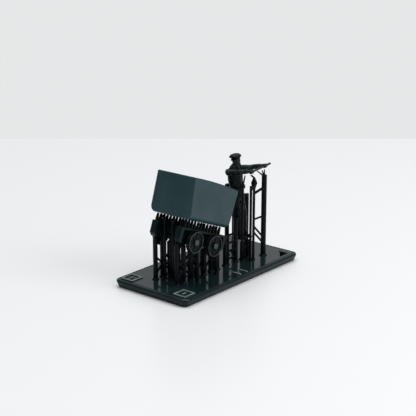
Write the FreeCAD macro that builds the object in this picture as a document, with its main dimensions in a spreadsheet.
"""Model tank wagon kit, standing on its print raft: wagon, loader figure and props.

Frame: +X runs along the raft, from the wagon's end to the figure's end.
+Z is up and the origin is the middle of the raft's underside.
The wagon is pitched nose-up about Y, and its own pieces are drawn level, in wagon
coordinates whose origin is the middle of the side frames' top edges.
"""
import FreeCAD, Part
import math
import os
import Sketcher

from FreeCAD import Placement, Rotation, Vector

SIZES = [
    # raft
    ("raft_length", 46.3, "raft, outermost edge to edge along X"),
    ("raft_width", 23.8, "raft, outermost edge to edge along Y"),
    ("raft_thickness", 2.1, "raft, underside to top"),
    ("raft_corner", 1.6, "raft corner radius at the outermost edge"),
    ("raft_undercut", 0.65, "how far the underside is drawn in from the outermost edge"),
    ("raft_bevel_run", 0.4, "how far the top is drawn in from the outermost edge"),
    ("raft_bevel_rise", 0.45, "height of the bevelled band round the top"),
    ("notch_length", 3.2, "leg along X of the three-cornered hole near one corner"),
    ("notch_width", 2.4, "leg along Y of the three-cornered hole"),
    ("notch_end", 2.7, "hole to the raft's outermost end"),
    ("notch_edge", 1.9, "hole to the raft's outermost side"),
    ("mark_size", 3.9, "raised registration square, outside"),
    ("mark_line", 0.45, "width of the raised lines"),
    ("mark_height", 0.3, "height of the raised lines"),
    ("mark_margin", 1.3, "registration squares to the raft's outermost edges"),
    ("tally_length", 2.8, "raised tally bars near the middle of one long side"),
    ("tally_spacing", 2.6, "tally bar to tally bar"),
    ("tally_x", 0.7, "middle of the two tally bars along X"),
    ("tally_margin", 0.9, "tally bars to the raft's outermost side"),
    # wagon stance
    ("wagon_x", -7.47, "wagon origin along X"),
    ("wagon_z", 14.13, "wagon origin above the raft's underside"),
    ("pitch", 21.3, "nose-up pitch in degrees"),
    # chassis
    ("frame_length", 18.4, "side frame length"),
    ("frame_depth", 4.0, "side frame depth"),
    ("frame_inner", 3.1, "middle of the wagon to the frames' inner faces"),
    ("frame_width", 1.8, "side frame, over the top flange"),
    ("frame_web", 0.8, "side frame web thickness"),
    ("frame_flange", 0.6, "side frame top flange thickness"),
    ("frame_end", 1.1, "side frame end plate thickness"),
    ("frame_toe", 0.8, "radius of the frame's lower corners"),
    ("wheelbase", 7.8, "axle to axle"),
    ("axle_drop", 3.1, "frame top to axle centre"),
    ("axle_radius", 0.45, "axle radius"),
    ("axle_clearance", 0.06, "radial running clearance of the axle"),
    ("axle_end", 5.85, "middle of the wagon to the axle's end"),
    ("box_length", 2.4, "axle box along the frame"),
    ("box_height", 2.3, "axle box height"),
    ("box_depth", 0.75, "axle box, out from the web"),
    ("member_length", 1.0, "cross member, along the wagon"),
    ("member_depth", 2.0, "cross member depth"),
    ("member_drop", 0.4, "frame top to the cross members' top"),
    ("member_overhang", 1.5, "axle line to the end cross member beyond it"),
    # wheels
    ("wheel_gap", 0.2, "side frame to the wheel's inner face"),
    ("wheel_width", 1.05, "wheel, over the rim"),
    ("flange_radius", 2.95, "wheel flange radius"),
    ("flange_width", 0.3, "wheel flange thickness"),
    ("tread_radius", 2.75, "wheel tread radius"),
    ("rim_inner", 2.2, "inner radius of the rim"),
    ("plate_width", 0.4, "wheel plate thickness"),
    ("hub_radius", 0.85, "wheel hub radius"),
    ("hub_stand", 0.35, "how far the hub stands out past the rim"),
    ("spoke_width", 0.38, "spoke width"),
    ("spoke_stand", 0.25, "how far the spokes stand out from the plate"),
    ("spoke_count", 8, "spokes in a wheel"),
    # tank
    ("tank_shift", -1.05, "tank's middle from the wagon origin, along the wagon"),
    ("tank_gap", 1.95, "frame top to the tank's underside"),
    ("tank_height", 10.2, "tank, underside to the eaves"),
    ("tank_crown", 0.35, "how far the tank's top is crowned along its length"),
    ("tank_top_length", 18.3, "tank length at the eaves"),
    ("tank_bottom_length", 15.9, "tank length at the underside"),
    ("tank_top_width", 11.8, "tank width at the eaves"),
    ("tank_bottom_width", 13.3, "tank width at the underside"),
    ("tank_corner", 1.9, "radius of the tank's long lower edges"),
    ("tank_wall", 1.0, "tank wall thickness"),
    ("hatch_length", 9.0, "underside opening along the wagon"),
    ("hatch_width", 6.6, "underside opening across the wagon"),
    ("hatch_clearance", 0.05, "gap round the plate in the underside opening"),
    ("hatch_plate", 0.8, "plate thickness"),
    ("drain_radius", 0.5, "drain hole radius"),
    ("drain_station", 3.0, "drain holes from the plate's middle"),
    # figure stance
    ("figure_x", 10.1, "figure origin along X, between the boots"),
    ("figure_y", -3.2, "figure origin along Y"),
    ("figure_z", 7.5, "figure origin above the raft's underside"),
    ("lean", 10.0, "backward lean in degrees"),
    # figure
    ("stance", 1.1, "middle of the figure to each leg"),
    ("boot_length", 1.55, "half length of a boot"),
    ("boot_width", 0.62, "half width of a boot"),
    ("boot_height", 1.3, "sole to ankle"),
    ("heel_shift", 0.55, "ankle behind the middle of the sole"),
    ("ankle_radius", 0.6, "trouser leg at the ankle"),
    ("knee_radius", 0.75, "trouser leg at the knee"),
    ("knee_height", 6.0, "sole to knee"),
    ("hip_height", 10.6, "sole to hip"),
    ("hip_radius", 1.0, "trouser leg at the hip"),
    ("waist_height", 12.8, "sole to waist"),
    ("waist_width", 2.0, "half width of the waist"),
    ("waist_depth", 1.45, "half depth of the waist"),
    ("chest_height", 16.6, "sole to chest"),
    ("chest_width", 2.5, "half width of the chest"),
    ("chest_depth", 1.6, "half depth of the chest"),
    ("shoulder_height", 19.0, "sole to the top of the shoulders"),
    ("shoulder_depth", 0.85, "half depth of the shoulders"),
    ("shoulder_slope", 0.6, "fall of the shoulders towards the arms"),
    ("yoke_width", 1.9, "half width of the jacket between the shoulder slopes"),
    ("neck_height", 19.2, "sole to the collar"),
    ("neck_radius", 0.85, "neck radius"),
    ("head_forward", 1.0, "head, cap and collar, forward of the ankles"),
    ("head_height", 20.7, "sole to the middle of the head"),
    ("head_half_height", 1.45, "head, half its height"),
    ("head_half_width", 1.0, "head, half its width"),
    ("head_half_depth", 1.2, "head, half its depth"),
    ("cap_height", 21.2, "sole to the cap's band"),
    ("cap_band", 1.25, "cap radius at the band"),
    ("cap_radius", 1.6, "cap radius at its widest"),
    ("cap_rise", 0.7, "band to the cap's widest line"),
    ("cap_top", 1.4, "band to the cap's top"),
    ("cap_overhang", 0.45, "cap's widest line, forward of the band"),
    ("head_turn", -70.0, "turn of the head and cap in degrees"),
    ("arm_height", 17.6, "sole to the shoulder joint"),
    ("arm_spread", 2.8, "middle of the figure to each shoulder joint"),
    ("shoulder_radius", 0.96, "ball of the shoulder"),
    ("arm_radius", 0.9, "arm at the shoulder"),
    ("wrist_radius", 0.55, "arm at the wrist"),
    ("arm_length", 5.7, "shoulder joint to wrist"),
    ("arm_swing", 18.0, "sideways swing of both arms in degrees"),
    ("near_arm_raise", 3.5, "rise of the near arm towards its hand in degrees"),
    ("far_arm_raise", 8.0, "rise of the far arm towards its hand in degrees"),
    ("hand_radius", 0.78, "closed hand, as a ball"),
    ("hand_reach", 0.6, "wrist to the middle of a hand"),
    ("bar_radius", 0.28, "push bar radius"),
    ("bar_length", 8.3, "push bar length"),
    ("bar_tilt", 5.0, "push bar, rise towards +X in degrees"),
    ("bar_aside", 2.9, "middle of the push bar, from the figure origin along X"),
    ("bar_ahead", 3.15, "middle of the push bar, ahead of the figure origin along Y"),
    ("bar_rise", 19.0, "middle of the push bar, above the figure origin"),
    # props
    ("prop_radius", 0.6, "prop radius"),
    ("slim_radius", 0.35, "slim prop radius"),
    ("stout_radius", 0.7, "stout prop radius"),
    ("foot_flare", 1.65, "foot radius over its prop's radius"),
    ("foot_rise", 0.5, "foot height"),
    ("tip_radius", 0.16, "tip radius where it meets the piece"),
    ("tip_length", 1.5, "tip length"),
    ("tip_gap", 0.08, "tip to the piece it holds, parted for break-away"),
    ("brace_radius", 0.28, "brace radius"),
    ("frame_prop_spacing", 2.6, "prop to prop under the side frames"),
    ("frame_prop_low", 3.4, "lowest brace joint above the raft's underside"),
    ("frame_prop_climb", 2.4, "climb of a brace from prop to prop"),
    ("tread_shift", 0.9, "wheel props, behind the axle line"),
    ("tank_prop_inset", 0.5, "end props, in from the tank's lower end edges"),
    ("front_prop_shift", 0.75, "middle of the front end props across the wagon"),
    ("front_prop_spread", 1.35, "front end props, each way from their middle"),
    ("rear_prop_spread", 2.0, "rear end props, each way from the middle"),
    ("branch_spread", 0.75, "branch tips, each way from their prop"),
    ("branch_rise", 1.9, "height of the branch tips"),
    ("strut_radius", 0.32, "struts between the side frames and the tank"),
    ("strut_spacing", 1.27, "strut to strut along the wagon"),
    ("strut_inset", 0.4, "strut rows, in from the top flange's edges"),
    ("tail_x", 2.2, "tail prop behind the wagon along X"),
    ("tail_top", 7.4, "tail prop's top above the raft's underside"),
    ("ladder_near_x", 3.3, "first ladder prop along X"),
    ("ladder_far_x", 6.5, "second ladder prop along X"),
    ("ladder_top", 9.0, "first ladder prop's top"),
    ("ladder_far_top", 13.0, "second ladder prop's top"),
    ("rung_low", 3.6, "lowest rung"),
    ("rung_spacing", 2.15, "rung to rung"),
    ("back_y", 1.6, "back props along Y"),
    ("back_near_x", 9.2, "near back prop along X"),
    ("back_far_x", 12.2, "far back prop along X"),
    ("back_rise", 13.1, "back props' tops above the figure origin"),
    ("back_brace_low", 13.4, "start of the brace between the back props"),
    ("twig_radius", 0.42, "short branches behind the figure, at their root"),
    ("sprig_radius", 0.27, "short branches on the slim props under the figure, at their root"),
    ("twig_rise", 1.5, "rise of the short branches under the figure"),
    ("thigh_y", 0.2, "prop behind the far thigh along Y"),
    ("thigh_rise", 5.7, "the same for the prop behind the far thigh"),
    ("thigh_twig_run", -1.1, "run of its branch along Y"),
    ("hip_near_x", 7.75, "prop beside the near hip along X"),
    ("hip_near_y", -2.0, "prop beside the near hip along Y"),
    ("hip_near_rise", 7.5, "the same for the prop beside the near hip"),
    ("hip_far_x", 13.7, "prop beside the far hip along X"),
    ("hip_far_y", -1.4, "prop beside the far hip along Y"),
    ("hip_far_rise", 10.1, "the same for the prop beside the far hip"),
    ("hip_far_run", -1.25, "run of its branch along X"),
    ("arm_prop_reach", 4.85, "shoulder joint to where the near arm is propped"),
    ("arm_prop_lean", 0.95, "the arm prop's post, aside from the point it holds"),
    ("arm_twig_rise", 2.8, "height of the arm prop's branch"),
    ("member_prop_y", 1.35, "props under the cross members, each way from the middle"),
    ("reach_y", -6.1, "the props under the hands along Y"),
    ("reach_near_x", 9.4, "first hand prop along X"),
    ("reach_mid_x", 10.7, "second hand prop along X"),
    ("reach_far_x", 15.0, "stout pillar under the far hand along X"),
    ("reach_rise", 13.9, "hand props' tops above the figure origin, under the kite"),
    ("kite_radius", 0.85, "kite above the second hand prop, at its widest"),
    ("kite_rise", 1.5, "kite, from its foot to its widest line"),
    ("kite_tip", 0.26, "radius of the kite's blunt top"),
    ("pillar_rise", 15.7, "stout pillar's full-width top above the figure origin"),
    ("pillar_taper", 0.7, "height of the stout pillar's tapered head"),
    ("fork_spread", 1.05, "tip to tip of the fork on the pillar's head along X"),
    ("kite_brace_drop", 1.3, "kite's foot down to its brace"),
    ("kite_brace_rise", 0.8, "rise of the kite's brace to the pillar"),
    ("kite_brace_radius", 0.36, "radius of the kite's brace"),
    ("span_level", 13.1, "level brace between the hand prop and the pillar"),
    ("cross_high", 11.3, "start of the upper falling brace"),
    ("cross_low", 9.7, "start of the lower falling brace"),
    ("cross_fall", -4.2, "fall of both"),
]

doc = FreeCAD.newDocument("TankWagonKit")
sheet = doc.addObject("Spreadsheet::Sheet", "Sizes")
for row, (alias, value, note) in enumerate(SIZES, start=1):
    sheet.set(f"A{row}", note)
    sheet.set(f"B{row}", str(value))
    sheet.setAlias(f"B{row}", alias)
doc.recompute()
ALIASES = sorted((alias for alias, value, note in SIZES), key=len, reverse=True)
SUB_PARTS = []


def sized(formula):
    """Turn a formula over size names into one that reads them from the sheet."""
    words = []
    word = ""
    for letter in str(formula) + " ":
        if letter.isalnum() or letter == "_":
            word += letter
        else:
            words.append(f"Sizes.{word}" if word in ALIASES else word)
            words.append(letter)
            word = ""
    return "".join(words).strip()


def bind(item, **formulas):
    """Bind properties to formulas over the sheet's sizes."""
    for name, formula in formulas.items():
        item.setExpression(name, sized(formula))
    return item


def place(item, x=0, y=0, z=0, turn=None, angle=0):
    """Place an object by formulas, turned by an angle about an axis."""
    if turn is not None:
        item.Placement = Placement(Vector(), Rotation(Vector(*turn), 1))
        item.setExpression("Placement.Rotation.Angle", sized(angle))
    item.setExpression("Placement.Base.x", sized(x))
    item.setExpression("Placement.Base.y", sized(y))
    item.setExpression("Placement.Base.z", sized(z))
    return item


def sub_part(item, label):
    """Name a finished sub-part; the label is also its file's name."""
    item.Label = label
    SUB_PARTS.append(item)
    return item


def on_wagon(item, label, y="0"):
    """Stand a level wagon piece at the wagon's place and pitch."""
    place(item, x="wagon_x", y=y, z="wagon_z", turn=(0, 1, 0), angle="pitch")
    return sub_part(item, label)


def on_figure(item, label):
    """Stand an upright figure piece at the figure's place and lean."""
    place(item, x="figure_x", y="figure_y", z="figure_z", turn=(-1, 0, 0), angle="lean")
    return sub_part(item, label)


def fuse(items):
    """Join objects, or leave solids that stay clear of each other side by side."""
    joined = doc.addObject("Part::MultiFuse", "Fuse")
    joined.Shapes = items
    joined.Refine = True
    return joined


def cut(base, tool):
    """Cut one object by another."""
    left = doc.addObject("Part::Cut", "Cut")
    left.Base = base
    left.Tool = tool
    return left


def wrapped(item):
    """A body-like holder, so that a piece keeps its own place inside its assembly."""
    holder = doc.addObject("Part::Compound", "Holder")
    holder.Links = [item]
    return holder


def block(length, width, height, x=0, y=0, z=0):
    """A box whose middle is at x and y, standing on z."""
    box = doc.addObject("Part::Box", "Block")
    bind(box, Length=length, Width=width, Height=height)
    return place(box, f"({x}) - ({length}) / 2", f"({y}) - ({width}) / 2", z)


def cylinder(radius, height, x=0, y=0, z=0, turn=None, angle=0):
    """A cylinder from a point along +Z, or turned from there."""
    rod = doc.addObject("Part::Cylinder", "Rod")
    bind(rod, Radius=radius, Height=height)
    return place(rod, x, y, z, turn, angle)


def cone(start_radius, end_radius, height, x=0, y=0, z=0, turn=None, angle=0):
    """A truncated cone from a point along +Z, or turned from there."""
    taper = doc.addObject("Part::Cone", "Taper")
    bind(taper, Radius1=start_radius, Radius2=end_radius, Height=height)
    return place(taper, x, y, z, turn, angle)


def sphere(radius):
    """A ball about the origin."""
    return bind(doc.addObject("Part::Sphere", "Ball"), Radius=radius)


def ellipsoid(half_height, half_width, half_depth, z=0):
    """An ellipsoid on the Z axis, with its height along Z and its width along X."""
    ball = doc.addObject("Part::Ellipsoid", "Ball")
    bind(ball, Radius1=half_height, Radius2=half_width, Radius3=half_depth)
    return place(ball, z=z)


def stacked(sections):
    """A straight-sided loft through level ellipses: (half width, half depth, x, y, z)."""
    rings = []
    for half_width, half_depth, x, y, z in sections:
        ring = doc.addObject("Part::Ellipse", "Ring")
        deep = evaluate(half_depth) > evaluate(half_width)
        major, minor = (half_depth, half_width) if deep else (half_width, half_depth)
        bind(ring, MajorRadius=major, MinorRadius=minor)
        rings.append(place(ring, x, y, z, turn=(0, 0, 1) if deep else None, angle="90"))
    loft = doc.addObject("Part::Loft", "Loft")
    loft.Sections = rings
    loft.Solid = True
    loft.Ruled = True
    return loft


# ------------------------------------------------------------------ sketches

def origin_plane(body, role):
    """One of a body's own origin planes."""
    return next(item for item in body.Origin.OriginFeatures if item.Role == role)


def origin_axis(body, role):
    """One of a body's own origin axes."""
    return next(item for item in body.Origin.OriginFeatures if item.Role == role)


def sketch_on(body, role, offset=0):
    """An empty sketch on a body's origin plane, set off along its normal."""
    sketch = body.newObject("Sketcher::SketchObject", "Sketch")
    sketch.AttachmentSupport = [(origin_plane(body, role), "")]
    sketch.MapMode = "FlatFace"
    sketch.setExpression("AttachmentOffset.Base.z", sized(offset))
    return sketch


def outline(sketch, points):
    """A closed outline held by formulas, listed counter-clockwise.

    A point is (x, y), or (x, y, radius) where an outward arc runs to the next point.
    """
    places = [Vector(evaluate(point[0]), evaluate(point[1]), 0) for point in points]
    ids = []
    for index, point in enumerate(points):
        start, end = places[index], places[(index + 1) % len(points)]
        if len(point) == 3:
            piece = arc_between(start, end, evaluate(point[2]))
        else:
            piece = Part.LineSegment(start, end)
        ids.append(sketch.addGeometry(piece))
    for index, point in enumerate(points):
        this, following = ids[index], ids[(index + 1) % len(ids)]
        sketch.addConstraint(Sketcher.Constraint("Coincident", this, 2, following, 1))
        hold(sketch, "DistanceX", point[0], -1, 1, this, 1)
        hold(sketch, "DistanceY", point[1], -1, 1, this, 1)
        if len(point) == 3:
            hold(sketch, "Radius", point[2], this)


def arc_between(start, end, radius):
    """The shorter counter-clockwise arc of a radius from one point to another."""
    chord = end - start
    middle = (start + end) / 2
    reach = math.sqrt(max(radius ** 2 - chord.Length ** 2 / 4, 0))
    centre = middle + Vector(-chord.y, chord.x, 0).normalize() * reach
    first = math.atan2(start.y - centre.y, start.x - centre.x)
    last = math.atan2(end.y - centre.y, end.x - centre.x)
    if last < first:
        last += 2 * math.pi
    return Part.ArcOfCircle(Part.Circle(centre, Vector(0, 0, 1), radius), first, last)


def hold(sketch, kind, formula, *geometry):
    """Add a constraint whose value is a formula."""
    number = sketch.addConstraint(Sketcher.Constraint(kind, *geometry, evaluate(formula)))
    sketch.setExpression(f"Constraints[{number}]", sized(formula))


def circle(sketch, x, y, radius):
    """A circle whose centre and radius are held by formulas."""
    centre = Vector(evaluate(x), evaluate(y), 0)
    ring = sketch.addGeometry(Part.Circle(centre, Vector(0, 0, 1), evaluate(radius)))
    hold(sketch, "Radius", radius, ring)
    hold(sketch, "DistanceX", x, -1, 1, ring, 3)
    hold(sketch, "DistanceY", y, -1, 1, ring, 3)


def evaluate(formula):
    """The present value of a formula over the sheet's sizes."""
    return float(sheet.evalExpression(sized(formula)))


def rounded_rectangle(sketch, half_length, half_width, radius):
    """A rectangle with round corners about the sketch's origin, held by formulas."""
    near_x, near_y = f"(({half_length}) - ({radius}))", f"(({half_width}) - ({radius}))"
    far_x, far_y = f"({half_length})", f"({half_width})"
    outline(sketch, [
        (f"-{near_x}", f"-{far_y}"), (near_x, f"-{far_y}", radius),
        (far_x, f"-{near_y}"), (far_x, near_y, radius),
        (near_x, far_y), (f"-{near_x}", far_y, radius),
        (f"-{far_x}", near_y), (f"-{far_x}", f"-{near_y}", radius),
    ])


def pad(body, sketch, length, midplane=False, backwards=False):
    """Pad a sketch by a formula."""
    feature = body.newObject("PartDesign::Pad", "Pad")
    feature.Profile = sketch
    bind(feature, Length=length)
    feature.Midplane = midplane
    feature.Reversed = backwards
    doc.recompute()
    return feature


def pocket(body, sketch, length=None, midplane=False, backwards=False):
    """Pocket a sketch by a formula, or right through, and see that it cuts."""
    before = body.Shape.Volume
    feature = body.newObject("PartDesign::Pocket", "Pocket")
    feature.Profile = sketch
    feature.Midplane = midplane
    feature.Reversed = backwards
    if length is None:
        feature.Type = "ThroughAll"
    else:
        bind(feature, Length=length)
    doc.recompute()
    if body.Shape.Volume > before - 1e-6:
        raise RuntimeError(f"{body.Name}: a pocket cuts nothing")
    return feature


# ---------------------------------------------------------------------- raft

def make_raft():
    """The raft: an undercut plate with a bevelled top edge and a three-cornered hole."""
    body = doc.addObject("PartDesign::Body", "Raft")
    levels = (
        ("raft_undercut", "0"),
        ("0", "raft_thickness - raft_bevel_rise"),
        ("raft_bevel_run", "raft_thickness"),
    )
    outlines = []
    for inset, level in levels:
        sketch = sketch_on(body, "XY_Plane", level)
        half_length = f"raft_length / 2 - {inset}"
        half_width = f"raft_width / 2 - {inset}"
        rounded_rectangle(sketch, half_length, half_width, f"raft_corner - {inset}")
        outlines.append(sketch)
    loft = body.newObject("PartDesign::AdditiveLoft", "Plate")
    loft.Profile = outlines[0]
    loft.Sections = outlines[1:]
    loft.Ruled = True
    doc.recompute()
    hole = sketch_on(body, "XY_Plane")
    corner_x = "raft_length / 2 - notch_end"
    corner_y = "-raft_width / 2 + notch_edge"
    outline(hole, [
        (corner_x, corner_y),
        (corner_x, f"{corner_y} + notch_width"),
        (f"{corner_x} - notch_length", corner_y),
    ])
    pocket(body, hole, midplane=True)
    sub_part(body, "raft_plate")


def make_raft_marks():
    """Raised registration squares at two corners, and two tally bars at one side."""
    lines = []
    square_x = "-raft_length / 2 + mark_margin + mark_size / 2"
    for sign in (1, -1):
        square_y = f"{sign} * (raft_width / 2 - mark_margin - mark_size / 2)"
        outer = block("mark_size", "mark_size", "mark_height", square_x, square_y, "raft_thickness")
        inner = block(
            "mark_size - 2 * mark_line", "mark_size - 2 * mark_line", "mark_height * 3",
            square_x, square_y, "raft_thickness - mark_height",
        )
        bar = block("mark_size / 3", "mark_line", "mark_height", square_x, square_y, "raft_thickness")
        lines += [cut(outer, inner), bar]
    for sign in (1, -1):
        lines.append(block(
            "mark_line", "tally_length", "mark_height",
            f"tally_x + {sign} * tally_spacing / 2",
            "-raft_width / 2 + tally_margin + tally_length / 2", "raft_thickness",
        ))
    sub_part(fuse(lines), "raft_marks")


# ------------------------------------------------------------------- chassis

MEMBER_STATIONS = ("-(wheelbase / 2 + member_overhang)", "0", "wheelbase / 2 + member_overhang")


def make_side_frame(side, sign):
    """A side frame: top flange, web and end plates, with a bore for each axle."""
    body = doc.addObject("PartDesign::Body", "SideFrame")
    far = sign > 0
    half = "frame_length / 2"
    face = sketch_on(body, "XZ_Plane")
    outline(face, [
        (half, "0"), (f"-{half}", "0"),
        (f"-{half}", "-frame_depth + frame_toe"), (f"-{half} + frame_toe", "-frame_depth"),
        (f"{half} - frame_toe", "-frame_depth"), (half, "-frame_depth + frame_toe"),
    ])
    pad(body, face, "frame_width", backwards=far)
    recess = sketch_on(body, "XZ_Plane", f"{-sign} * frame_width")
    inside = "(frame_length / 2 - frame_end)"
    outline(recess, [
        (inside, "-frame_flange"), (f"-{inside}", "-frame_flange"),
        (f"-{inside}", "-frame_depth - frame_toe"), (inside, "-frame_depth - frame_toe"),
    ])
    pocket(body, recess, "frame_width - frame_web", backwards=far)
    bores = sketch_on(body, "XZ_Plane")
    for end in (1, -1):
        circle(bores, f"{end} * wheelbase / 2", "-axle_drop", "axle_radius + axle_clearance")
    pocket(body, bores, midplane=True)
    on_wagon(body, f"side_frame_{side}", y=f"{sign} * frame_inner")


def make_axle_box(side, sign, end_name, end):
    """An axle box on the outside of a web, round-headed, bored for its axle."""
    body = doc.addObject("PartDesign::Body", "AxleBox")
    middle = f"{end} * wheelbase / 2"
    top = "-axle_drop + box_height / 2"
    face = sketch_on(body, "XZ_Plane")
    outline(face, [
        (f"{middle} - box_length / 2", "-axle_drop - box_height / 2"),
        (f"{middle} + box_length / 2", "-axle_drop - box_height / 2"),
        (f"{middle} + box_length / 2", f"{top} - box_length / 4"),
        (f"{middle} + box_length / 4", top), (f"{middle} - box_length / 4", top),
        (f"{middle} - box_length / 2", f"{top} - box_length / 4"),
    ])
    pad(body, face, "box_depth", backwards=sign > 0)
    bore = sketch_on(body, "XZ_Plane")
    circle(bore, middle, "-axle_drop", "axle_radius + axle_clearance")
    pocket(body, bore, midplane=True)
    on_wagon(body, f"axle_box_{side}_{end_name}", y=f"{sign} * (frame_inner + frame_web)")


def make_cross_member(name, station):
    """A bar across the wagon between the two webs."""
    bar = block(
        "member_length", "2 * frame_inner", "member_depth",
        station, "0", "-member_drop - member_depth",
    )
    on_wagon(wrapped(bar), f"cross_member_{name}")


def make_axle(end_name, end):
    """An axle through both webs and both axle boxes, into the wheel hubs."""
    rod = cylinder(
        "axle_radius", "2 * axle_end",
        f"{end} * wheelbase / 2", "-axle_end", "-axle_drop", turn=(-1, 0, 0), angle="90",
    )
    on_wagon(wrapped(rod), f"axle_{end_name}")


def make_wheel(side, sign, end_name, end):
    """A flanged, spoked wheel, turned about its axle line, its hub blind on the axle."""
    body = doc.addObject("PartDesign::Body", "Wheel")
    profile = sketch_on(body, "XY_Plane")
    plate_in = "(wheel_width - plate_width) / 2"
    plate_out = "(wheel_width + plate_width) / 2"
    bore_end = "axle_end - frame_inner - frame_width - wheel_gap"
    half_section = [
        ("axle_radius", "0"), ("flange_radius", "0"), ("flange_radius", "flange_width"),
        ("tread_radius", "flange_width"), ("tread_radius", "wheel_width"),
        ("rim_inner", "wheel_width"), ("rim_inner", plate_out), ("hub_radius", plate_out),
        ("hub_radius", "wheel_width + hub_stand"), ("0", "wheel_width + hub_stand"),
        ("0", bore_end), ("axle_radius", bore_end),
    ]
    outline(profile, [(x, f"{sign} * ({y})") for x, y in half_section])
    spin = body.newObject("PartDesign::Revolution", "Turned")
    spin.Profile = profile
    spin.ReferenceAxis = (origin_axis(body, "Y_Axis"), [""])
    spin.Angle = 360
    doc.recompute()
    back = sketch_on(body, "XZ_Plane")
    circle(back, "0", "0", "rim_inner")
    circle(back, "0", "0", "hub_radius")
    pocket(body, back, plate_in, backwards=sign < 0)
    spoke = sketch_on(body, "XZ_Plane", f"{-sign} * ({plate_out})")
    reach = "(hub_radius + rim_inner) / 2"
    span = "(rim_inner - hub_radius) / 2 + spoke_width / 2"
    outline(spoke, [
        (f"{reach} - {span}", "-spoke_width / 2"), (f"{reach} + {span}", "-spoke_width / 2"),
        (f"{reach} + {span}", "spoke_width / 2"), (f"{reach} - {span}", "spoke_width / 2"),
    ])
    rib = pad(body, spoke, "spoke_stand", backwards=sign > 0)
    ring = body.newObject("PartDesign::PolarPattern", "Spokes")
    ring.Originals = [rib]
    ring.Axis = (origin_axis(body, "Y_Axis"), [""])
    ring.Angle = 360
    bind(ring, Occurrences="spoke_count")
    body.Tip = ring
    doc.recompute()
    station = f"({end} * wheelbase / 2)"
    inner = f"{sign} * (frame_inner + frame_width + wheel_gap)"
    place(
        body, x=f"wagon_x + {station} * cos(pitch) - axle_drop * sin(pitch)", y=inner,
        z=f"wagon_z - {station} * sin(pitch) - axle_drop * cos(pitch)",
        turn=(0, 1, 0), angle="pitch",
    )
    sub_part(body, f"wheel_{side}_{end_name}")


# ---------------------------------------------------------------------- tank

END_LEAN = "((tank_top_length - tank_bottom_length) / 2 / tank_height)"
SIDE_LEAN = "((tank_bottom_width - tank_top_width) / 2 / tank_height)"


def tank_form(inset):
    """The tank's closed form, every wall drawn in by an inset."""
    body = doc.addObject("PartDesign::Body", "TankForm")
    bottom = f"(tank_gap + {inset})"
    eaves = f"(tank_gap + tank_height - {inset})"
    low = f"(tank_bottom_length / 2 - {inset} + {inset} * {END_LEAN})"
    high = f"(tank_top_length / 2 - {inset} - {inset} * {END_LEAN})"
    crown = f"(({high} ^ 2 + tank_crown ^ 2) / 2 / tank_crown)"
    side = sketch_on(body, "XZ_Plane")
    outline(side, [
        (f"tank_shift - {low}", bottom), (f"tank_shift + {low}", bottom),
        (f"tank_shift + {high}", eaves, crown), (f"tank_shift - {high}", eaves),
    ])
    pad(body, side, "tank_bottom_width + 2", midplane=True)
    section = sketch_on(body, "YZ_Plane")
    wide = f"(tank_bottom_width / 2 - {inset} - {inset} * {SIDE_LEAN})"
    bend = f"(tank_corner - {inset})"
    turn = f"({bend} * ({SIDE_LEAN} + sqrt(1 + {SIDE_LEAN} ^ 2)))"
    climb = f"({turn} / sqrt(1 + {SIDE_LEAN} ^ 2))"
    roof = f"({eaves} + tank_height)"
    narrow = f"({wide} - {SIDE_LEAN} * ({roof} - {bottom}))"
    outer = "tank_bottom_width"
    outline(section, [
        (f"-{outer}", "-1"), (outer, "-1"),
        (outer, f"{roof} + 1"), (f"-{outer}", f"{roof} + 1"),
    ])
    outline(section, [
        (f"-({wide} - {turn})", bottom), (f"{wide} - {turn}", bottom, bend),
        (f"{wide} - {climb} * {SIDE_LEAN}", f"{bottom} + {climb}"), (narrow, roof),
        (f"-{narrow}", roof),
        (f"-({wide} - {climb} * {SIDE_LEAN})", f"{bottom} + {climb}", bend),
    ])
    pocket(body, section, midplane=True)
    return body


def make_tank():
    """The hollow tank, with an opening in its underside and a drained plate in it."""
    shell = cut(tank_form("0"), tank_form("tank_wall"))
    opening = block(
        "hatch_length", "hatch_width", "tank_wall * 3",
        "tank_shift", "0", "tank_gap - tank_wall",
    )
    on_wagon(cut(shell, opening), "tank_shell")
    plate = block(
        "hatch_length - 2 * hatch_clearance", "hatch_width - 2 * hatch_clearance",
        "hatch_plate", "tank_shift", "0", "tank_gap",
    )
    drains = [
        cylinder("drain_radius", "hatch_plate * 3", f"tank_shift + {sign} * drain_station",
                 "0", "tank_gap - hatch_plate")
        for sign in (1, -1)
    ]
    on_wagon(cut(plate, fuse(drains)), "tank_floor_plate")


# -------------------------------------------------------------------- figure

BAR_X = "(figure_x + bar_aside)"
BAR_Z = "(figure_z + bar_rise)"
BACK_TOP = "(figure_z + back_rise)"
THIGH_TOP = "(figure_z + thigh_rise)"
HIP_FAR_TOP = "(figure_z + hip_far_rise)"
REACH_TOP = "(figure_z + reach_rise)"
PILLAR_TOP = "(figure_z + pillar_rise)"


def make_legs():
    """Boots and trousers: two legs joined at the hips."""
    boots = []
    legs = [stacked([
        ("stance + hip_radius * 0.9", "hip_radius", "0", "0", "hip_height - hip_radius"),
        ("waist_width", "waist_depth", "0", "0", "waist_height"),
    ])]
    for sign in (-1, 1):
        leg_x = f"{sign} * stance"
        boots.append(stacked([
            ("boot_width", "boot_length", leg_x, "-heel_shift", "0"),
            ("boot_width", "boot_length - 0.1", leg_x, "-heel_shift", "boot_height * 0.45"),
            ("ankle_radius", "ankle_radius + 0.01", leg_x, "0", "boot_height"),
        ]))
        legs.append(stacked([
            ("ankle_radius", "ankle_radius + 0.01", leg_x, "0", "boot_height"),
            ("knee_radius", "knee_radius + 0.01", leg_x, "0", "knee_height"),
            ("hip_radius", "hip_radius + 0.01", leg_x, "0", "hip_height"),
        ]))
    on_figure(fuse(boots), "figure_boots")
    on_figure(fuse(legs), "figure_trousers")


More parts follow.
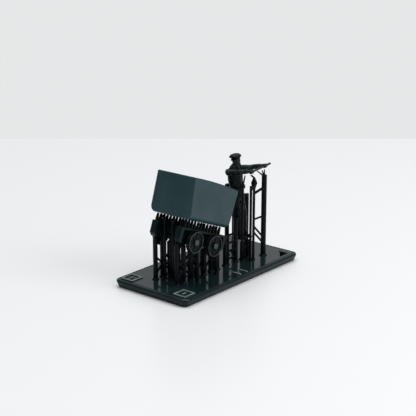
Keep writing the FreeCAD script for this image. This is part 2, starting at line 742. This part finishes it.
def jacket_form():
    """The jacket, from the waist over the chest to the collar."""
    return stacked([
        ("waist_width", "waist_depth", "0", "0", "waist_height"),
        ("chest_width", "chest_depth", "0", "0", "chest_height"),
        ("chest_width", "shoulder_depth", "0", "-head_forward / 3", "shoulder_height - shoulder_slope"),
        ("yoke_width", "shoulder_depth", "0", "-head_forward / 2", "shoulder_height"),
        ("neck_radius + 0.01", "neck_radius", "0", "-head_forward", "neck_height"),
    ])


def make_head():
    """A plain head on its neck, and a flat cap that sits over it, both turned."""
    cap = stacked([
        ("cap_band", "cap_band + 0.01", "0", "0", "cap_height"),
        ("cap_radius", "cap_radius + 0.01", "0", "-cap_overhang", "cap_height + cap_rise"),
        ("cap_radius * 0.6", "cap_radius * 0.6 + 0.01", "0", "0", "cap_height + cap_top"),
    ])
    skull = ellipsoid("head_half_height", "head_half_width", "head_half_depth", z="head_height")
    neck = cylinder("neck_radius", "head_height - neck_height", z="neck_height")
    head = cut(fuse([skull, neck]), cap)
    for item, label in ((head, "figure_head"), (cap, "figure_cap")):
        holder = place(wrapped(item), y="-head_forward", turn=(0, 0, 1), angle="head_turn")
        on_figure(wrapped(holder), label)


def make_push_bar():
    """The bar in the figure's hands, rising a little towards +X."""
    bar = cylinder(
        "bar_radius", "bar_length",
        f"{BAR_X} - bar_length / 2 * cos(bar_tilt)", "figure_y - bar_ahead",
        f"{BAR_Z} - bar_length / 2 * sin(bar_tilt)", turn=(0, 1, 0), angle="90 - bar_tilt",
    )
    sub_part(bar, "push_bar")
    return bar


def make_arm(side, sign, rise, jacket, bar):
    """An arm stretched forward from the shoulder, and its hand closed on the bar."""
    turn = (1, 0, 0)
    sleeve = fuse([
        cone("arm_radius", "wrist_radius", "arm_length", turn=turn, angle=f"90 - ({rise})"),
        sphere("shoulder_radius"),
    ])
    reach = "(arm_length + hand_reach)"
    fist = place(sphere("hand_radius"), "0", f"-{reach} * cos({rise})", f"{reach} * sin({rise})")
    hand = cut(fist, sleeve)
    joint = {"x": f"{sign} * arm_spread", "z": "arm_height", "turn": (0, 0, 1), "angle": "arm_swing"}
    sleeve_stood = place(wrapped(sleeve), **joint)
    on_figure(cut(sleeve_stood, jacket), f"figure_arm_{side}")
    hand_stood = wrapped(place(wrapped(hand), **joint))
    place(hand_stood, "figure_x", "figure_y", "figure_z", turn=(-1, 0, 0), angle="lean")
    sub_part(cut(hand_stood, bar), f"figure_hand_{side}")


def make_figure():
    """The loader: boots, trousers, jacket, head, cap, arms, hands and the push bar."""
    make_legs()
    jacket = jacket_form()
    make_head()
    bar = make_push_bar()
    make_arm("near", -1, "near_arm_raise", jacket, bar)
    make_arm("far", 1, "far_arm_raise", jacket, bar)
    on_figure(wrapped(jacket), "figure_jacket")


# --------------------------------------------------------------------- props

UNDER_FRAME = "(wagon_z - frame_depth / cos(pitch) - (({x}) - wagon_x) * tan(pitch))"


def prop(x, y, top, radius="prop_radius", tip="tip_length"):
    """A prop from the raft: flared foot, shaft and a pointed tip that ends at top."""
    foot = cone(f"{radius} * foot_flare", radius, "foot_rise", x, y, "raft_thickness")
    shaft_start = "raft_thickness + foot_rise"
    shaft = cylinder(radius, f"({top}) - ({tip}) - {shaft_start}", x, y, shaft_start)
    point = cone(radius, "tip_radius", tip, x, y, f"({top}) - ({tip})")
    return [foot, shaft, point]


def post(x, y, top, radius="prop_radius"):
    """A prop with a flat top, for branches or a head to stand on."""
    foot = cone(f"{radius} * foot_flare", radius, "foot_rise", x, y, "raft_thickness")
    shaft_start = "raft_thickness + foot_rise"
    return [foot, cylinder(radius, f"({top}) - {shaft_start}", x, y, shaft_start)]


def brace(x, y, z, run, rise, along="x", radius="brace_radius"):
    """A brace from a point, by a run along X or Y and a rise."""
    length = f"sqrt(({run}) ^ 2 + ({rise}) ^ 2)"
    turn = (0, 1, 0) if along == "x" else (-1, 0, 0)
    return cylinder(radius, length, x, y, z, turn=turn, angle=f"atan2({run}; {rise})")


def branch(x, y, z, run, rise, along="y", radius="slim_radius", end="tip_radius"):
    """A tapering branch from a post's top, by a run along X or Y and a rise."""
    length = f"sqrt(({run}) ^ 2 + ({rise}) ^ 2)"
    turn = (0, 1, 0) if along == "x" else (-1, 0, 0)
    return cone(radius, end, length, x, y, z, turn=turn, angle=f"atan2({run}; {rise})")


def make_frame_props(side, sign):
    """The row of props under one side frame, braced to each other up and down."""
    row_y = f"{sign} * (frame_inner + frame_web / 2)"
    middle = "(wagon_x - frame_depth * sin(pitch))"
    stations = [f"({middle} + {index} * frame_prop_spacing)" for index in range(-3, 4)]
    pieces = []
    for x in stations:
        pieces += prop(x, row_y, UNDER_FRAME.format(x=x) + " - tip_gap")
    for index, x in enumerate(stations[:-1]):
        rising = index % 2 == 0
        start = "frame_prop_low" if rising else "frame_prop_low + frame_prop_climb"
        rise = "frame_prop_climb" if rising else "-frame_prop_climb"
        pieces.append(brace(x, row_y, start, "frame_prop_spacing", rise))
    for index, x in enumerate(stations[:3]):
        level = "frame_prop_low + 2 * frame_prop_climb"
        rise = "-frame_prop_climb" if index % 2 == 0 else "frame_prop_climb"
        start = level if index % 2 == 0 else f"{level} - frame_prop_climb"
        pieces.append(brace(x, row_y, start, "frame_prop_spacing", rise))
    sub_part(fuse(pieces), f"frame_props_{side}")


def make_wheel_props(side, sign):
    """A slim prop under the tread of each wheel on one side."""
    row_y = f"{sign} * (frame_inner + frame_width + wheel_gap + wheel_width / 2)"
    pieces = []
    for end in (-1, 1):
        station = f"({end} * wheelbase / 2)"
        wheel_x = f"(wagon_x + {station} * cos(pitch) - axle_drop * sin(pitch))"
        wheel_z = f"(wagon_z - {station} * sin(pitch) - axle_drop * cos(pitch))"
        top = f"{wheel_z} - sqrt(tread_radius ^ 2 - tread_shift ^ 2) - tip_gap"
        pieces += prop(f"{wheel_x} + tread_shift", row_y, top, "slim_radius")
    sub_part(fuse(pieces), f"wheel_props_{side}")


def make_tank_props(name, end, shift, spread):
    """Two posts under one end of the tank, each with a pair of branch tips."""
    along = f"(tank_shift + {end} * (tank_bottom_length / 2 - tank_prop_inset))"
    x = f"(wagon_x + {along} * cos(pitch) + tank_gap * sin(pitch))"
    under = f"(wagon_z - {along} * sin(pitch) + tank_gap * cos(pitch) - tip_gap)"
    pieces = []
    for sign in (-1, 1):
        y = f"({shift} + {sign} * {spread})"
        pieces += post(x, y, f"{under} - branch_rise", "slim_radius")
        for way in (-1, 1):
            pieces.append(branch(
                x, y, f"{under} - branch_rise - tip_radius", f"{way} * branch_spread", "branch_rise",
            ))
    pieces.append(brace(
        x, f"{shift} - {spread}", "frame_prop_low + 2 * frame_prop_climb",
        f"2 * {spread}", "-frame_prop_climb", along="y",
    ))
    sub_part(fuse(pieces), f"tank_props_{name}")


def make_tank_struts(side, sign):
    """Two rows of short struts on a side frame's top flange, pointed under the tank."""
    pieces = []
    for row in ("strut_inset", "frame_width - strut_inset"):
        for index in range(12):
            pieces.append(cone(
                "strut_radius", "tip_radius", "tank_gap - tip_gap",
                f"tank_shift + ({index} - 5.5) * strut_spacing", f"{sign} * (frame_inner + {row})", "0",
            ))
    on_wagon(fuse(pieces), f"tank_struts_{side}")


def make_member_props():
    """A pair of slim props under each cross member."""
    pieces = []
    depth = "(member_drop + member_depth)"
    for station in MEMBER_STATIONS:
        x = f"(wagon_x + ({station}) * cos(pitch) - {depth} * sin(pitch))"
        under = f"(wagon_z - ({station}) * sin(pitch) - {depth} * cos(pitch))"
        for sign in (-1, 1):
            pieces += prop(x, f"{sign} * member_prop_y", f"{under} - 2 * tip_gap", "slim_radius")
    sub_part(fuse(pieces), "member_props")


def make_ladder():
    """The tail prop and two laddered props between the wagon and the figure."""
    y = "-(frame_inner + frame_web / 2)"
    pieces = post("tail_x", y, "tail_top") + post("ladder_near_x", y, "ladder_top", "slim_radius")
    pieces += post("ladder_far_x", y, "ladder_far_top")
    for index in range(4):
        level = f"rung_low + {index} * rung_spacing"
        pieces.append(brace("ladder_near_x", y, level, "ladder_far_x - ladder_near_x", "0"))
    sub_part(fuse(pieces), "ladder_props")


ARM_SIDE = "(sin(arm_swing) * cos(near_arm_raise))"
ARM_OUT = "(cos(arm_swing) * cos(near_arm_raise) * cos(lean) - sin(near_arm_raise) * sin(lean))"
ARM_CLIMB = "(cos(arm_swing) * cos(near_arm_raise) * sin(lean) + sin(near_arm_raise) * cos(lean))"
SHOULDER_Z = "(figure_z + arm_height * cos(lean))"


def arm_prop():
    """The slim post beside the near boot, with a branch to the near arm's underside."""
    thin = "(arm_radius + (wrist_radius - arm_radius) * arm_prop_reach / arm_length)"
    x = f"(figure_x - arm_spread + arm_prop_reach * {ARM_SIDE} - arm_prop_lean)"
    y = f"(figure_y + arm_height * sin(lean) - arm_prop_reach * {ARM_OUT})"
    top = f"({SHOULDER_Z} + arm_prop_reach * {ARM_CLIMB} - {thin} - tip_gap - arm_twig_rise)"
    twig = branch(
        x, y, f"{top} - tip_radius", "arm_prop_lean", "arm_twig_rise", along="x", radius="sprig_radius",
    )
    return post(x, y, top, "slim_radius") + [twig]


def make_boot_props():
    """The props under the boots and the near arm."""
    sole = "(figure_z + heel_shift * sin(lean) - tip_gap)"
    row_y = "figure_y - heel_shift * cos(lean)"
    pieces = arm_prop()
    for sign in (-1, 1):
        pieces += prop(f"figure_x + {sign} * stance", row_y, sole)
    pieces.append(brace("figure_x - stance", row_y, "rung_low", "2 * stance", "rung_spacing"))
    sub_part(fuse(pieces), "boot_props")


def make_back_props():
    """The pair of tall props behind the jacket, braced to each other."""
    back = "(figure_y + (back_rise + twig_rise) * tan(lean) + chest_depth / cos(lean))"
    pieces = []
    for x in ("back_near_x", "back_far_x"):
        pieces += post(x, "back_y", BACK_TOP)
        run = f"{back} + tip_gap + tip_radius - back_y"
        level = f"{BACK_TOP} - tip_radius"
        pieces.append(branch(x, "back_y", level, run, "twig_rise", radius="twig_radius"))
    pieces.append(brace(
        "back_near_x", "back_y", "back_brace_low", "back_far_x - back_near_x", "rung_spacing",
    ))
    sub_part(fuse(pieces), "back_props")


def make_thigh_props():
    """The props beside both hips and behind the far thigh, each with a short branch."""
    thigh_x = "figure_x + stance"
    pieces = post(thigh_x, "thigh_y", THIGH_TOP, "slim_radius")
    pieces.append(branch(
        thigh_x, "thigh_y", f"{THIGH_TOP} - tip_radius", "thigh_twig_run", "twig_rise", radius="sprig_radius",
    ))
    pieces += prop("hip_near_x", "hip_near_y", "figure_z + hip_near_rise + twig_rise", "slim_radius")
    pieces += post("hip_far_x", "hip_far_y", HIP_FAR_TOP)
    pieces.append(branch(
        "hip_far_x", "hip_far_y", f"{HIP_FAR_TOP} - tip_radius", "hip_far_run", "twig_rise",
        along="x", radius="twig_radius",
    ))
    sub_part(fuse(pieces), "thigh_props")


def kite():
    """The kite on the second hand prop, with two tips under the near hand."""
    top = f"{REACH_TOP} + 2 * kite_rise"
    hand_x = f"figure_x - arm_spread + (arm_length + hand_reach) * {ARM_SIDE}"
    hand_low = f"{SHOULDER_Z} + (arm_length + hand_reach) * {ARM_CLIMB} - hand_radius"
    rise = f"({hand_low} - tip_gap - ({top}))"
    pieces = [
        cone("slim_radius", "kite_radius", "kite_rise", "reach_mid_x", "reach_y", REACH_TOP),
        cone("kite_radius", "kite_tip", "kite_rise", "reach_mid_x", "reach_y", f"{REACH_TOP} + kite_rise"),
    ]
    for way in ("0", "hand_radius / 2"):
        pieces.append(branch(
            "reach_mid_x", "reach_y", f"{top} - tip_radius", f"({hand_x} + {way} - reach_mid_x)", rise,
            along="x", radius="kite_tip",
        ))
    return pieces


def fork():
    """The tapered head of the stout pillar, with a fork of tips under the far hand and bar."""
    root = f"({PILLAR_TOP} + pillar_taper)"
    hand_low = f"({BAR_Z} + (reach_far_x - {BAR_X}) * tan(bar_tilt) - hand_radius)"
    tip_x = "(reach_far_x - 3 * fork_spread)"
    bar_low = f"({BAR_Z} + ({tip_x} - {BAR_X}) * tan(bar_tilt) - bar_radius / cos(bar_tilt))"
    pieces = [cone("stout_radius", "slim_radius", "pillar_taper", "reach_far_x", "reach_y", PILLAR_TOP)]
    for run, under in (("0", hand_low), ("-fork_spread", hand_low), ("-3 * fork_spread", bar_low)):
        pieces.append(branch(
            "reach_far_x", "reach_y", f"{root} - tip_radius", run, f"({under} - tip_gap - {root})",
            along="x", radius="kite_tip",
        ))
    return pieces


def make_reach_props():
    """The row under the hands: two hand props, the kite, the pillar and their braces."""
    pieces = post("reach_near_x", "reach_y", REACH_TOP, "slim_radius")
    pieces += post("reach_mid_x", "reach_y", REACH_TOP, "slim_radius")
    pieces += post("reach_far_x", "reach_y", PILLAR_TOP, "stout_radius")
    pieces += kite() + fork()
    pieces.append(branch(
        "reach_near_x", "reach_y", f"{REACH_TOP} - tip_radius", "reach_mid_x - reach_near_x", "kite_rise",
        along="x", end="slim_radius",
    ))
    span = "reach_far_x - reach_mid_x"
    pieces.append(brace(
        "reach_mid_x", "reach_y", f"{REACH_TOP} - kite_brace_drop", span, "kite_brace_rise",
        radius="kite_brace_radius",
    ))
    pieces.append(brace("reach_mid_x", "reach_y", "span_level", span, "0"))
    for level in ("cross_high", "cross_low"):
        pieces.append(brace("reach_mid_x", "reach_y", level, span, "cross_fall"))
    sub_part(fuse(pieces), "reach_props")


# ------------------------------------------------------------------- assembly

SIDES = (("near", -1), ("far", 1))
ENDS = (("front", -1), ("rear", 1))

make_raft()
make_raft_marks()
for side_name, side_sign in SIDES:
    make_side_frame(side_name, side_sign)
    for end_name, end_sign in ENDS:
        make_axle_box(side_name, side_sign, end_name, end_sign)
        make_wheel(side_name, side_sign, end_name, end_sign)
for end_name, end_sign in ENDS:
    make_axle(end_name, end_sign)
for member_name, member_place in zip(("front", "middle", "rear"), MEMBER_STATIONS):
    make_cross_member(member_name, member_place)
make_tank()
for side_name, side_sign in SIDES:
    make_tank_struts(side_name, side_sign)
    make_frame_props(side_name, side_sign)
    make_wheel_props(side_name, side_sign)
make_tank_props("front", -1, "front_prop_shift", "front_prop_spread")
make_tank_props("rear", 1, "0", "rear_prop_spread")
make_figure()
make_member_props()
make_ladder()
make_boot_props()
make_back_props()
make_thigh_props()
make_reach_props()
doc.recompute()

for item in doc.Objects:
    if "Invalid" in item.State or "Error" in item.State:
        raise RuntimeError(f"{item.Name} ({item.Label}) did not build: {item.State}")
os.makedirs("parts", exist_ok=True)
for item in SUB_PARTS:
    shape = item.Shape
    if shape.isNull() or not shape.isValid() or not shape.Solids:
        raise RuntimeError(f"{item.Label} is not a sound solid")
    shape.exportStep(os.path.join("parts", f"{item.Label}.step"))
    print(item.Label, len(shape.Solids), round(shape.Volume, 3))
